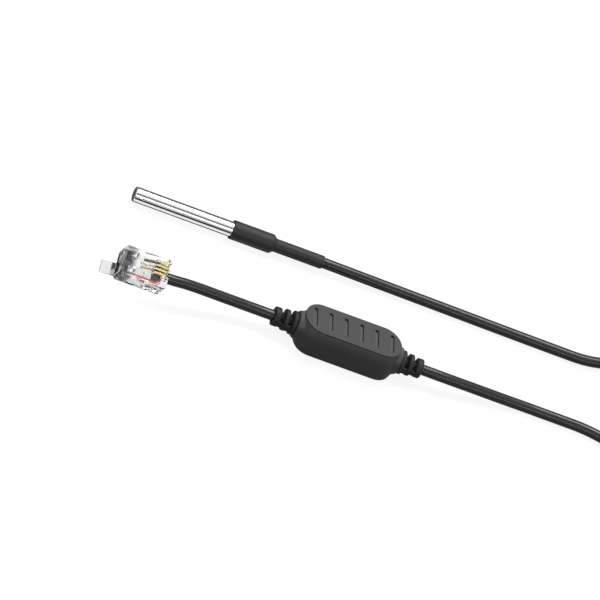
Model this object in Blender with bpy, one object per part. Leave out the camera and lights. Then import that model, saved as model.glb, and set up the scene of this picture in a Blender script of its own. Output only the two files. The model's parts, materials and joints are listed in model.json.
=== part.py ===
"""A digital temperature sensor: steel probe, inline module and clear four-way plug on one round cable.

The module stands on its base at the origin. +X runs along its cable towards the long end, +Y points
away from the viewer, and +Z points up. The probe lies beside the module, on the same surface.
"""

import math

import bmesh
import bpy
from mathutils import Matrix, Vector

MM = 0.001

# Clearances
GAP = 0.3 * MM
FIT = 0.15 * MM
MERGE = 0.0005 * MM
OVERCUT = 1.0 * MM

# Cable and its cores
CABLE_OD = 2.8 * MM
CORE_OD = 0.7 * MM
CORE_RING = 0.6 * MM
CORE_SPACING = 0.9 * MM
CORE_PAD_PITCH = 1.4 * MM
CORE_PAD_FROM_JACKET = 2.8 * MM
CORE_PAD_LENGTH = 0.6 * MM
# Where the cores leave the jacket, in degrees round it, for a cable end with three or four cores
CORE_ANGLES = {3: (180, 90, 0), 4: (180, 90, 270, 0)}

# Module
MODULE_LENGTH = 26.4 * MM
MODULE_WIDTH = 10.7 * MM
MODULE_HEIGHT = 8.72 * MM
MODULE_END = 4.8 * MM
FOOT_FLARE = 0.25 * MM
FOOT_ROUND = 0.7 * MM
RIM_ROUND = 0.2 * MM
WALL = 0.7 * MM
FLOOR = 0.9 * MM
COVER_EDGE = 0.4 * MM
COVER_SPIGOT = 0.9 * MM
SLOT_COUNT = 6
SLOT_MARGIN = 2.7 * MM
SLOT_LENGTH = 6.74 * MM
SLOT_WIDTH = 0.9 * MM
SLOT_DEPTH = 0.65 * MM
NECK_REACH = 0.8 * MM
NECK_RADIUS = 3.25 * MM
NECK_FLARE = 1.3 * MM
NECK_RUN = 1.7 * MM
NECK_EASE = 1.5
NECK_LIFT = 0.3
NECK_STEPS = 6
FOOT_STEPS = 4
OUTLINE_STEPS = 14

# Strain relief, counted outwards from the neck
RING_COUNT = 3
RING_PITCH = 2.2 * MM
RING_LENGTH = 1.1 * MM
LAST_RING = 1.6 * MM
RING_RADIUS = 3.1 * MM
RING_STEP = 0.3 * MM
RING_CREVICE = 0.45 * MM
RING_ROUND = 0.2 * MM
WINDOW_RISE = 0.2 * MM
STEM_RADIUS = 2.1 * MM
COLLAR_RADIUS = 2.9 * MM
COLLAR_LENGTH = 1.0 * MM
COLLAR_OFFSET = 2.0 * MM
TURN_STEPS = 32

# Circuit board and what it carries
BOARD_FROM_ENDS = 4.9 * MM
BOARD_WIDTH = 6.6 * MM
BOARD_THICK = 0.8 * MM
BOARD_BELOW_AXIS = 1.76 * MM
BOARD_CORNER = 0.6 * MM
POST_RADIUS = 0.6 * MM
POST_FROM_EDGE = 1.9 * MM
POST_Y = 2.4 * MM
CHIP_LENGTH = 4.9 * MM
CHIP_WIDTH = 3.2 * MM
CHIP_HEIGHT = 1.3 * MM
CHIP_LIFT = 0.2 * MM
CHIP_DRAFT = 0.15 * MM
LEAD_COUNT = 4
LEAD_PITCH = 1.1 * MM
LEAD_WIDTH = 0.4 * MM
LEAD_REACH = 0.7 * MM
LEAD_KNEE = 0.35 * MM
LEAD_HEEL = 0.1 * MM
LEAD_ROOT = 0.4 * MM
LEAD_THICK = 0.2 * MM
SMALL_LENGTH = 1.0 * MM
SMALL_WIDTH = 0.6 * MM
SMALL_HEIGHT = 0.5 * MM
SMALL_CAP = 0.25 * MM
SMALL_WAIST = 0.05 * MM
CAPACITOR_Y = 0.9 * MM
SMALL_FROM_CHIP = 0.3 * MM

# Probe
PROBE_Y = 29.85 * MM
PROBE_TIP_X = -58.6 * MM
PROBE_OD = 4.0 * MM
PROBE_LENGTH = 30.0 * MM
PROBE_WALL = 0.3 * MM
PROBE_ROUND = 0.35 * MM
PROBE_TURN_STEPS = 40
BOOT_OD = 5.0 * MM
BOOT_START_X = -31.8 * MM
BOOT_WIDE = 10.8 * MM
BOOT_TAPER = 1.3 * MM
BOOT_NARROW = 13.1 * MM
SLEEVE_OD = 3.45 * MM
SEAL_LENGTH = 2.6 * MM
JACKET_IN_PROBE = 5.0 * MM
DIE_LENGTH = 3.4 * MM
DIE_WIDTH = 2.5 * MM
DIE_THICK = 1.5 * MM
DIE_EDGE = 0.4 * MM
DIE_CROWN = 0.6
DIE_FROM_TIP = 1.6 * MM
LEG_LENGTH = 4.0 * MM
LEG_WIDTH = 0.36 * MM
LEG_PITCH = 0.95 * MM
LEG_ROOT = 0.5 * MM

# Plug: the cable enters its nose, and its open mouth faces away from the cable
PLUG_X = -51.02 * MM
PLUG_Y = -4.71 * MM
PLUG_Z = 7.49 * MM
PLUG_ROLL = math.radians(32)
PLUG_LENGTH = 12.4 * MM
PLUG_WIDTH = 7.65 * MM
PLUG_THICK = 6.6 * MM
PLUG_BEVEL = 0.25 * MM
PLUG_CHAMFER = 0.35 * MM
PORT_DEPTH = 0.9 * MM
NOSE_WALL = 1.3 * MM
DUCT_END = 5.2 * MM
DUCT_WIDTH = 5.8 * MM
DUCT_TOP = 1.0 * MM
DUCT_BOTTOM = -1.25 * MM
MOUTH_BOTTOM = -2.2 * MM
BAR_START = 8.8 * MM
BAR_LENGTH = 2.0 * MM
BAR_WIDTH = 5.6 * MM
BAR_POCKET = 1.5 * MM
CONTACT_PITCH = 1.02 * MM
CONTACT_COUNT = 4
CONTACT_OFFSET = -0.95 * MM
CONTACT_THICK = 0.6 * MM
CONTACT_SIDE_GAP = 0.1 * MM
CONTACT_FROM_NOSE = 0.45 * MM
CONTACT_END = 3.85 * MM
CONTACT_SINK = 0.35 * MM
CONTACT_SHOULDER = 1.75 * MM
CONTACT_TOE = 0.75 * MM
CONTACT_BEND = 0.5 * MM
LATCH_THICK = 0.7 * MM
LATCH_WIDE = 4.4 * MM
LATCH_NARROW = 3.2 * MM

# The latch's middle line, in millimetres from the nose's lower edge, with 1 where it is wide
LATCH_LINE = (
    (1.6, 0.35, 1), (0.3, 0.05, 1), (-0.5, -0.2, 1), (-0.85, -0.75, 1), (-0.45, -1.25, 1),
    (0.6, -1.5, 1), (5.6, -2.45, 1), (6.0, -2.53, 0), (12.6, -3.75, 0), (13.0, -3.95, 0),
    (15.0, -4.1, 0),
)

# How far each core reaches from the nose, in millimetres, its angle in the jacket, and its finish
PLUG_CORES = ((6.6, 180, "black"), (7.4, 90, "white"), (7.0, 270, "yellow"), (8.6, 0, "red"))

# Coil of the spare length, with its tie
COIL_X = 100.0 * MM
COIL_Y = 17.1 * MM
COIL_MIDDLE_RADIUS = 15.0 * MM
COIL_COLUMNS = 6
COIL_LAYERS = 2
COIL_ROUND = 0.98 * MM
COIL_TURN_STEPS = 40
TIE_THICK = 0.3 * MM
TIE_WIDTH = 3.5 * MM
TIE_ROUND = 0.5 * MM
CORNER_STEPS = 3

AXIS_Z = MODULE_HEIGHT / 2
SLOT_PITCH = (MODULE_LENGTH - 2 * SLOT_MARGIN) / (SLOT_COUNT - 1)
BOARD_LENGTH = MODULE_LENGTH - 2 * BOARD_FROM_ENDS
BOARD_LIFT = AXIS_Z - BOARD_BELOW_AXIS
POST_X = BOARD_LENGTH / 2 - POST_FROM_EDGE
SMALL_X = CHIP_LENGTH / 2 + SMALL_FROM_CHIP + SMALL_LENGTH / 2
PROBE_Z = BOOT_OD / 2
BORE_RADIUS = CABLE_OD / 2 + FIT
NECK_FACE = MODULE_LENGTH / 2 + NECK_REACH
RELIEF_START = NECK_FACE + GAP
COLLAR_FACE = MODULE_LENGTH / 2 - COLLAR_OFFSET
JACKET_END = COLLAR_FACE - COLLAR_LENGTH - 2 * GAP
CORE_PAD_START = JACKET_END - CORE_PAD_FROM_JACKET
CORE_PAD_END = CORE_PAD_START - CORE_PAD_LENGTH
PROBE_MOUTH_X = PROBE_TIP_X + PROBE_LENGTH
BOOT_END_X = BOOT_START_X + BOOT_WIDE + BOOT_TAPER + BOOT_NARROW
PROBE_JACKET_X = PROBE_MOUTH_X - JACKET_IN_PROBE
SENSOR_BACK_X = PROBE_TIP_X + PROBE_WALL + DIE_FROM_TIP + DIE_LENGTH
COIL_BOTTOM = TIE_THICK + GAP

# Routes of the cable, in millimetres, through points chosen by hand
PLUG_ROUTE = (
    (-JACKET_END / MM, 0, AXIS_Z / MM), (-15.0, 0, AXIS_Z / MM), (-20.3, 0, AXIS_Z / MM),
    (-24.03, -0.08, 4.42), (-28.15, -0.46, 4.71), (-32.38, -1.15, 5.25), (-36.68, -2.05, 5.95),
    (-41.0, -2.99, 6.7), (-45.0, -3.86, 7.27), (-48.6, -4.52, 7.47), (-51.62, -4.71, 7.49),
)
COIL_ROUTE = (
    (JACKET_END / MM, 0, AXIS_Z / MM), (15.0, 0, AXIS_Z / MM), (20.3, 0, AXIS_Z / MM),
    (26.05, 0.15, 4.24), (30.2, 0.61, 3.89), (34.43, 1.3, 3.36), (38.68, 2.07, 2.76),
    (42.93, 2.84, 2.17), (47.12, 3.41, 1.75), (51.23, 3.76, 1.5), (55.26, 3.84, 1.42),
    (60.5, 3.84, 1.42), (66.0, 3.75, 1.42), (70.5, 3.05, 1.45), (76.0, 1.45, 1.52),
    (81.6, -0.35, 1.65),
)
PROBE_ROUTE = (
    (81.6, 34.4, 3.05), (76.0, 32.65, 2.05), (70.5, 31.15, 1.6), (66.0, 30.45, 1.45),
    (60.3, 30.4, 1.42), (50.3, 30.47, 1.42), (38.3, 30.55, 1.47), (26.3, 30.6, 1.57), (16.26, 30.53, 1.72),
    (8.18, 30.31, 1.98), (0.04, 29.93, 2.36), (-6.6, PROBE_Y / MM, PROBE_Z / MM),
    (-15.0, PROBE_Y / MM, PROBE_Z / MM), (PROBE_JACKET_X / MM, PROBE_Y / MM, PROBE_Z / MM),
)

# Colour, roughness, metallic value and alpha of each finish
FINISHES = {
    "shell": ((0.035, 0.035, 0.036), 0.55, 0.0, 1.0),
    "relief": ((0.03, 0.03, 0.031), 0.5, 0.0, 1.0),
    "jacket": ((0.03, 0.03, 0.032), 0.42, 0.0, 1.0),
    "shrink": ((0.022, 0.022, 0.023), 0.6, 0.0, 1.0),
    "steel": ((0.86, 0.87, 0.88), 0.12, 1.0, 1.0),
    "clear": ((0.85, 0.87, 0.88), 0.06, 0.0, 0.35),
    "gold": ((0.83, 0.62, 0.2), 0.25, 1.0, 1.0),
    "board": ((0.02, 0.16, 0.07), 0.45, 0.0, 1.0),
    "package": ((0.02, 0.02, 0.022), 0.5, 0.0, 1.0),
    "ceramic": ((0.42, 0.3, 0.2), 0.5, 0.0, 1.0),
    "resin": ((0.1, 0.09, 0.07), 0.3, 0.0, 1.0),
    "tie": ((0.02, 0.02, 0.02), 0.45, 0.0, 1.0),
    "red": ((0.6, 0.02, 0.02), 0.4, 0.0, 1.0),
    "black": ((0.015, 0.015, 0.016), 0.4, 0.0, 1.0),
    "yellow": ((0.75, 0.62, 0.2), 0.4, 0.0, 1.0),
    "white": ((0.8, 0.8, 0.76), 0.4, 0.0, 1.0),
}


def clear_scene():
    for item in list(bpy.data.objects):
        bpy.data.objects.remove(item, do_unlink=True)


def dress(obj, finish):
    """Give the object a material of its own."""
    colour, roughness, metallic, alpha = FINISHES[finish]
    material = bpy.data.materials.new(obj.name + "_finish")
    material.use_nodes = True
    shader = material.node_tree.nodes["Principled BSDF"]
    shader.inputs["Base Color"].default_value = (*colour, 1.0)
    shader.inputs["Roughness"].default_value = roughness
    shader.inputs["Metallic"].default_value = metallic
    shader.inputs["Alpha"].default_value = alpha
    material.diffuse_color = (*colour, alpha)
    obj.data.materials.append(material)


def link(name, data, finish, place=None):
    obj = bpy.data.objects.new(name, data)
    bpy.context.scene.collection.objects.link(obj)
    if place is not None:
        obj.matrix_world = place
    if finish:
        dress(obj, finish)
    return obj


def add_solid(name, shape, finish=None, place=None, sharp=35.0):
    """Turn a bmesh into an object whose faces point out and whose round sides are smooth."""
    bmesh.ops.recalc_face_normals(shape, faces=shape.faces)
    mesh = bpy.data.meshes.new(name)
    shape.to_mesh(mesh)
    shape.free()
    mesh.shade_smooth()
    mesh.set_sharp_from_angle(angle=math.radians(sharp))
    return link(name, mesh, finish, place)


def combine(target, tool, operation):
    """Join the tool to the target or cut it away, with the tool kept as a hidden guide."""
    change = target.modifiers.new(tool.name, "BOOLEAN")
    change.operation = operation
    change.solver = "EXACT"
    change.object = tool
    tool.hide_render = True
    tool.display_type = "WIRE"


def add_loft(shape, sections):
    """Skin a row of closed sections that have as many points each, and close both ends."""
    loops = [[shape.verts.new(point) for point in section] for section in sections]
    for near, far in zip(loops, loops[1:]):
        for index, corner in enumerate(near):
            after = (index + 1) % len(near)
            shape.faces.new((corner, near[after], far[after], far[index]))
    shape.faces.new(loops[0])
    shape.faces.new(loops[-1])


def loft(sections):
    shape = bmesh.new()
    add_loft(shape, sections)
    return shape


def turn(profile, steps=TURN_STEPS):
    """Spin (x, radius) points round the X axis; a profile that starts off the axis is closed first."""
    shape = bmesh.new()
    corners = [shape.verts.new((x, 0.0, radius)) for x, radius in profile]
    if profile[0][1] > 0:
        corners.append(corners[0])
    edges = [shape.edges.new(pair) for pair in zip(corners, corners[1:])]
    bmesh.ops.spin(
        shape, geom=list(set(corners)) + edges, cent=(0, 0, 0), axis=(1, 0, 0),
        angle=2 * math.pi, steps=steps,
    )
    bmesh.ops.remove_doubles(shape, verts=shape.verts, dist=MERGE)
    return shape


def block(low, high):
    """The eight-cornered block between two opposite corners, as two sections."""
    (x0, y0, z0), (x1, y1, z1) = low, high
    return [[(x, y0, z0), (x, y1, z0), (x, y1, z1), (x, y0, z1)] for x in (x0, x1)]


def quarter(steps=CORNER_STEPS, start=0.0):
    """Angles from `start` over a quarter turn."""
    return [start + math.pi / 2 * step / steps for step in range(steps + 1)]


def rounded_section(low, high, radius):
    """The points round a rectangle with round corners, between two opposite corners."""
    points = []
    for across, up, start in (
        (high[0] - radius, high[1] - radius, 0), (low[0] + radius, high[1] - radius, math.pi / 2),
        (low[0] + radius, low[1] + radius, math.pi), (high[0] - radius, low[1] + radius, 1.5 * math.pi),
    ):
        for angle in quarter(start=start):
            points.append((across + radius * math.cos(angle), up + radius * math.sin(angle)))
    return points


def pill(half_length, half_width, end, height, steps=OUTLINE_STEPS):
    """A level outline of straight sides closed by half ellipses that are `end` long."""
    points = []
    for side in (1, -1):
        for step in range(steps + 1):
            angle = math.pi * (step / steps - 0.5)
            x = side * (half_length - end + end * math.cos(angle))
            points.append((x, side * half_width * math.sin(angle), height))
    return points


def module_outline(inset, height, steps=OUTLINE_STEPS):
    """The module's outline, drawn in by `inset` all round."""
    return pill(
        MODULE_LENGTH / 2 - inset, MODULE_WIDTH / 2 - inset, MODULE_END - inset, height, steps
    )


def smooth_route(route, spacing):
    """Points along a Catmull-Rom curve through the route, about `spacing` apart, in metres."""
    knots = [Vector(point) * MM for point in route]
    knots = [2 * knots[0] - knots[1], *knots, 2 * knots[-1] - knots[-2]]
    points = [knots[1]]
    for before, start, end, after in zip(knots, knots[1:], knots[2:], knots[3:]):
        count = max(1, round((end - start).length / spacing))
        for step in range(1, count + 1):
            t = step / count
            leave = (end - before) / 2
            arrive = (after - start) / 2
            points.append(
                (2 * t**3 - 3 * t**2 + 1) * start + (t**3 - 2 * t**2 + t) * leave
                + (3 * t**2 - 2 * t**3) * end + (t**3 - t**2) * arrive
            )
    return points


def add_tube(name, points, diameter, finish):
    """A round cord through the points, with closed ends."""
    curve = bpy.data.curves.new(name, "CURVE")
    curve.dimensions = "3D"
    curve.bevel_depth = diameter / 2
    curve.bevel_resolution = 2
    curve.use_fill_caps = True
    spline = curve.splines.new("POLY")
    spline.points.add(len(points) - 1)
    for knot, point in zip(spline.points, points):
        knot.co = (*point, 1.0)
    return link(name, curve, finish)


def make_module_body():
    """The lower shell: a drafted tub with a rounded foot, flared necks and four board posts."""
    rim = MODULE_HEIGHT - COVER_EDGE - GAP
    sections = []
    for angle in quarter(FOOT_STEPS):
        inset = FOOT_ROUND * (1 - math.sin(angle)) - FOOT_FLARE
        sections.append(module_outline(inset, FOOT_ROUND * (1 - math.cos(angle))))
    sections.append(module_outline(0, rim - RIM_ROUND))
    sections.append(module_outline(RIM_ROUND / 2, rim))
    body = add_solid("module_body", loft(sections), "shell")
    for name, side in (("neck_right", 1), ("neck_left", -1)):
        combine(body, add_solid(name, loft(neck_sections(side))), "UNION")
    cavity = loft([module_outline(WALL, FLOOR), module_outline(WALL, MODULE_HEIGHT)])
    combine(body, add_solid("module_cavity", cavity), "DIFFERENCE")
    reach = NECK_FACE + OVERCUT
    radius = STEM_RADIUS + GAP
    bore = turn([(-reach, 0), (-reach, radius), (reach, radius), (reach, 0)])
    place = Matrix.Translation((0, 0, AXIS_Z))
    combine(body, add_solid("neck_bore", bore, place=place), "DIFFERENCE")
    combine(body, add_solid("board_posts", board_posts()), "UNION")
    return body


def board_posts():
    """Four round posts that run from the middle of the floor up to just under the board."""
    posts = bmesh.new()
    root = FLOOR / 2
    top = BOARD_LIFT - GAP
    for x in (-POST_X, POST_X):
        for y in (-POST_Y, POST_Y):
            bmesh.ops.create_cone(
                posts, cap_ends=True, segments=12, radius1=POST_RADIUS, radius2=POST_RADIUS,
                depth=top - root, matrix=Matrix.Translation((x, y, (top + root) / 2)),
            )
    return posts


def neck_sections(side):
    """Ellipses that flare from the round neck face into the end of the shell."""
    angles = [2 * math.pi * index / TURN_STEPS for index in range(TURN_STEPS)]
    sections = []
    for angle in quarter(NECK_STEPS):
        flare = math.sin(angle) ** NECK_EASE
        across = NECK_RADIUS + NECK_FLARE * flare
        upright = NECK_RADIUS + NECK_LIFT * NECK_FLARE * flare
        x = side * (NECK_FACE - NECK_RUN * angle / (math.pi / 2))
        sections.append(
            [(x, across * math.cos(a), AXIS_Z + upright * math.sin(a)) for a in angles]
        )
    return sections


def make_module_cover():
    """The lid: a thin crisp rim, a spigot that fills the tub's mouth, and a row of grip slots."""
    edge = MODULE_HEIGHT - COVER_EDGE
    sections = [
        module_outline(WALL + GAP, edge - COVER_SPIGOT), module_outline(WALL + GAP, edge),
        module_outline(0, edge), module_outline(0, MODULE_HEIGHT - RIM_ROUND / 2),
        module_outline(RIM_ROUND / 2, MODULE_HEIGHT),
    ]
    cover = add_solid("module_cover", loft(sections), "shell", sharp=25)
    slots = bmesh.new()
    for index in range(SLOT_COUNT):
        x = (index - (SLOT_COUNT - 1) / 2) * SLOT_PITCH
        levels = (MODULE_HEIGHT - SLOT_DEPTH, MODULE_HEIGHT + SLOT_DEPTH)
        rounded = [
            pill(SLOT_LENGTH / 2, SLOT_WIDTH / 2, SLOT_WIDTH / 2, level, steps=6) for level in levels
        ]
        add_loft(slots, [[(x - across, along, z) for along, across, z in ring] for ring in rounded])
    combine(cover, add_solid("grip_slots", slots), "DIFFERENCE")
    return cover


def make_strain_relief(name, side):
    """A sleeve of rings on the cable, with a stem through the neck and a collar behind it."""
    profile = [
        (COLLAR_FACE - COLLAR_LENGTH, BORE_RADIUS), (COLLAR_FACE - COLLAR_LENGTH, COLLAR_RADIUS),
        (COLLAR_FACE, COLLAR_RADIUS), (COLLAR_FACE, STEM_RADIUS), (RELIEF_START, STEM_RADIUS),
    ]
    for index in range(RING_COUNT):
        radius = RING_RADIUS - RING_STEP * index
        start = RELIEF_START + RING_PITCH * index
        last = index == RING_COUNT - 1
        end = start + (LAST_RING if last else RING_LENGTH)
        profile += [
            (start, radius - RING_ROUND), (start + RING_ROUND, radius),
            (end - RING_ROUND, radius), (end, radius - RING_ROUND),
        ]
        if not last:
            profile.append((end, radius - RING_CREVICE))
            profile.append((start + RING_PITCH, radius - RING_CREVICE))
    profile.append((end, BORE_RADIUS))
    turned_about = Matrix.Rotation(0 if side > 0 else math.pi, 4, "Z")
    place = Matrix.Translation((0, 0, AXIS_Z)) @ turned_about
    relief = add_solid(name, turn(profile), "relief", place, sharp=50)
    windows = bmesh.new()
    for index in range(RING_COUNT - 1):
        start = RELIEF_START + RING_PITCH * index + RING_LENGTH
        end = RELIEF_START + RING_PITCH * (index + 1)
        low = (start, -RING_RADIUS, WINDOW_RISE)
        add_loft(windows, block(low, (end, RING_RADIUS, RING_RADIUS + GAP)))
    combine(relief, add_solid(name + "_windows", windows, place=place), "DIFFERENCE")
    return relief


def make_board():
    """The circuit board with its chip, two capacitors and one resistor."""
    outline = [
        pill(BOARD_LENGTH / 2, BOARD_WIDTH / 2, BOARD_CORNER, z, steps=8)
        for z in (BOARD_LIFT, BOARD_LIFT + BOARD_THICK)
    ]
    add_solid("circuit_board", loft(outline), "board")
    top = BOARD_LIFT + BOARD_THICK + GAP
    make_chip(top)
    make_small_part("capacitor_1", -SMALL_X, CAPACITOR_Y, top, "ceramic")
    make_small_part("capacitor_2", -SMALL_X, -CAPACITOR_Y, top, "ceramic")
    make_small_part("resistor_1", SMALL_X, 0.0, top, "package")


def make_chip(base):
    """A moulded package with drafted sides and a row of bent leads along each long side."""
    low = base + CHIP_LIFT
    middle = low + CHIP_HEIGHT / 2
    sections = []
    for inset, z in ((CHIP_DRAFT, low), (0, middle), (CHIP_DRAFT, low + CHIP_HEIGHT)):
        x = CHIP_LENGTH / 2 - inset
        y = CHIP_WIDTH / 2 - inset
        sections.append([(-x, -y, z), (x, -y, z), (x, y, z), (-x, y, z)])
    chip = add_solid("converter_chip", loft(sections), "package")
    leads = bmesh.new()
    edge = CHIP_WIDTH / 2
    foot = base + LEAD_THICK
    profile = [
        (edge - LEAD_ROOT, middle), (edge + LEAD_KNEE, middle), (edge + LEAD_KNEE, foot),
        (edge + LEAD_REACH, foot), (edge + LEAD_REACH, base), (edge + LEAD_HEEL, base),
        (edge + LEAD_HEEL, middle - LEAD_THICK), (edge - LEAD_ROOT, middle - LEAD_THICK),
    ]
    for index in range(LEAD_COUNT):
        centre = (index - (LEAD_COUNT - 1) / 2) * LEAD_PITCH
        for side in (1, -1):
            faces = [centre - LEAD_WIDTH / 2, centre + LEAD_WIDTH / 2]
            add_loft(leads, [[(x, side * y, z) for y, z in profile] for x in faces])
    combine(chip, add_solid("chip_leads", leads), "UNION")
    return chip


def make_small_part(name, x, y, base, finish):
    """A ceramic block with a slightly larger metal cap on each end, lying along X."""
    half = SMALL_LENGTH / 2
    cap = half - SMALL_CAP
    steps = ((-half, 0), (-cap, 0), (-cap, SMALL_WAIST), (cap, SMALL_WAIST), (cap, 0), (half, 0))
    sections = []
    for along, inset in steps:
        wide = SMALL_WIDTH / 2 - inset
        low = base + inset
        high = base + SMALL_HEIGHT - inset
        sections.append([
            (x + along, y - wide, low), (x + along, y + wide, low),
            (x + along, y + wide, high), (x + along, y - wide, high),
        ])
    return add_solid(name, loft(sections), finish)


def make_board_cores():
    """The cable's cores inside the module, from each jacket's end down to the board."""
    pad_z = BOARD_LIFT + BOARD_THICK + GAP + CORE_OD / 2
    start_x = JACKET_END - GAP
    plug_side = ("black", "red", "yellow", "white")
    for label, side, finishes in (
        ("plug_side_core", -1, plug_side), ("probe_side_core", 1, plug_side[:3]),
    ):
        count = len(finishes)
        for index, finish in enumerate(finishes):
            angle = math.radians(CORE_ANGLES[count][index])
            y = CORE_RING * math.cos(angle)
            z = AXIS_Z + CORE_RING * math.sin(angle)
            pad_y = (index - (count - 1) / 2) * CORE_PAD_PITCH
            route = (
                (side * start_x, y, z), (side * (start_x - CORE_OD), 1.3 * y, z),
                (side * (CORE_PAD_START + CORE_OD), 0.9 * pad_y, pad_z + CORE_OD / 2),
                (side * CORE_PAD_START, pad_y, pad_z), (side * CORE_PAD_END, pad_y, pad_z),
            )
            points = smooth_route([Vector(point) / MM for point in route], CORE_SPACING)
            add_tube(f"{label}_{index + 1}", points, CORE_OD, finish)


def make_probe():
    """The closed steel tube, the sensor in its tip, the seal behind the jacket, and the boot."""
    outer = PROBE_OD / 2
    inner = outer - PROBE_WALL
    place = Matrix.Translation((0, PROBE_Y, PROBE_Z))
    profile = [(PROBE_TIP_X, 0)]
    for angle in quarter(4):
        x = PROBE_TIP_X + PROBE_ROUND * (1 - math.cos(angle))
        profile.append((x, outer - PROBE_ROUND * (1 - math.sin(angle))))
    profile += [
        (PROBE_MOUTH_X, outer), (PROBE_MOUTH_X, inner), (PROBE_TIP_X + PROBE_WALL, inner),
        (PROBE_TIP_X + PROBE_WALL, 0),
    ]
    add_solid("probe_tube", turn(profile, PROBE_TURN_STEPS), "steel", place)
    make_sensor(place)
    make_seal(place)
    make_boot(place)


def make_sensor(place):
    """The sensor package: flat on one side and round on the other, with three legs."""
    back = SENSOR_BACK_X
    flat = DIE_THICK / 2
    section = []
    for angle in quarter(4) + quarter(4, math.pi / 2)[1:]:
        crown = (DIE_THICK - DIE_EDGE) * math.sin(angle) ** DIE_CROWN
        section.append((DIE_WIDTH / 2 * math.cos(angle), crown - flat + DIE_EDGE))
    section += [(-DIE_WIDTH / 2, -flat), (DIE_WIDTH / 2, -flat)]
    sections = [[(x, y, z) for y, z in section] for x in (back - DIE_LENGTH, back)]
    die = add_solid("sensor_chip", loft(sections), "package", place)
    legs = bmesh.new()
    for index in (-1, 0, 1):
        y = index * LEG_PITCH
        low = (back - LEG_ROOT, y - LEG_WIDTH / 2, -LEG_WIDTH / 2)
        high = (back + LEG_LENGTH, y + LEG_WIDTH / 2, LEG_WIDTH / 2)
        add_loft(legs, block(low, high))
    combine(die, add_solid("sensor_legs", legs, place=place), "UNION")
    return die


def make_seal(place):
    """The resin seal behind the jacket, and the three cores that pass through it to the legs."""
    start = PROBE_JACKET_X - GAP
    seal_end = start - SEAL_LENGTH
    radius = PROBE_OD / 2 - PROBE_WALL - FIT
    plug = turn([(seal_end, 0), (seal_end, radius), (start, radius), (start, 0)], 28)
    seal = add_solid("resin_seal", plug, "resin", place)
    leg_end = SENSOR_BACK_X + LEG_LENGTH + GAP
    wide = CORE_OD / 2 + CONTACT_SIDE_GAP
    ring = [2 * math.pi * step / 12 for step in range(12)]
    holes = bmesh.new()
    for index, finish in enumerate(("black", "red", "yellow")):
        angle = math.pi * (0.5 - 2 * (index - 1) / 3)
        y = CORE_RING * math.cos(angle)
        z = CORE_RING * math.sin(angle)
        add_loft(holes, [
            [(x, y + wide * math.cos(a), z + wide * math.sin(a)) for a in ring]
            for x in (seal_end - GAP, start + GAP)
        ])
        leg_y = (index - 1) * LEG_PITCH
        route = (
            (start - GAP, y, z), (seal_end - CORE_OD, y, z),
            (leg_end + 4 * CORE_OD, (y + leg_y) / 2, z / 2), (leg_end + CORE_OD, leg_y, 0),
            (leg_end, leg_y, 0),
        )
        knots = [place @ Vector(point) / MM for point in route]
        points = smooth_route(knots, 2 * CORE_SPACING)
        add_tube(f"sensor_core_{index + 1}", points, CORE_OD, finish)
    combine(seal, add_solid("core_holes", holes, place=place), "DIFFERENCE")
    return seal


def make_boot(place):
    """The shrunk sleeve: wide on the steel tube, then necked down onto the cable."""
    wide_in = PROBE_OD / 2 + FIT
    narrow_in = CABLE_OD / 2 + FIT
    wide = BOOT_OD / 2
    narrow = SLEEVE_OD / 2
    shoulder = BOOT_START_X + BOOT_WIDE
    profile = [(BOOT_START_X, wide - FIT), (BOOT_START_X + FIT, wide)]
    for angle in quarter(3, -math.pi / 2) + quarter(3)[1:]:
        t = (1 + math.sin(angle)) / 2
        x = shoulder + BOOT_TAPER * (angle / math.pi + 0.5)
        profile.append((x, wide + (narrow - wide) * t))
    profile += [
        (BOOT_END_X, narrow), (BOOT_END_X, narrow_in),
        (PROBE_MOUTH_X + GAP + BOOT_TAPER, narrow_in), (PROBE_MOUTH_X + GAP, wide_in),
        (BOOT_START_X, wide_in),
    ]
    return add_solid("heat_shrink_boot", turn(profile), "shrink", place, sharp=50)


def plug_frame():
    """The plug's own axes: x from its nose to its mouth, y across its width, z out of the contact side."""
    along = Vector((-1, 0, 0))
    out = Vector((0, -math.sin(PLUG_ROLL), math.cos(PLUG_ROLL)))
    across = out.cross(along)
    nose = Matrix.Translation((PLUG_X, PLUG_Y, PLUG_Z))
    return nose @ Matrix((along, across, out)).transposed().to_4x4()


def make_plug():
    """The clear housing with its latch, the four contacts and the cores that run under them."""
    place = plug_frame()
    housing = add_solid("plug_housing", loft(plug_sections()), "clear", place, sharp=20)
    combine(housing, add_solid("plug_latch", loft(latch_sections()), place=place), "UNION")
    half = DUCT_WIDTH / 2
    duct = loft(block((NOSE_WALL, -half, DUCT_BOTTOM), (DUCT_END + GAP, half, DUCT_TOP)))
    high = (PLUG_LENGTH + OVERCUT, half, DUCT_TOP + CONTACT_SIDE_GAP)
    mouth = loft(block((DUCT_END, -half, MOUTH_BOTTOM), high))
    bore_end = NOSE_WALL + GAP
    port = turn([(-GAP, 0), (-GAP, BORE_RADIUS), (bore_end, BORE_RADIUS), (bore_end, 0)], 24)
    for name, shape in (
        ("plug_duct", duct), ("plug_mouth", mouth), ("plug_port", port),
        ("bar_window", bar_window()), ("contact_slots", contact_slots()),
    ):
        combine(housing, add_solid(name, shape, place=place), "DIFFERENCE")
    profile = contact_profile()
    for index in range(CONTACT_COUNT):
        y = contact_place(index)
        sides = (y - CONTACT_THICK / 2, y + CONTACT_THICK / 2)
        blade = loft([[(x, side, z) for x, z in profile] for side in sides])
        add_solid(f"contact_{index + 1}", blade, "gold", place)
    make_plug_cores(place)
    return housing


def contact_place(index):
    """Where a contact's middle lies across the plug: the row stands off the plug's own middle."""
    return CONTACT_OFFSET + (index - (CONTACT_COUNT - 1) / 2) * CONTACT_PITCH


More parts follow.
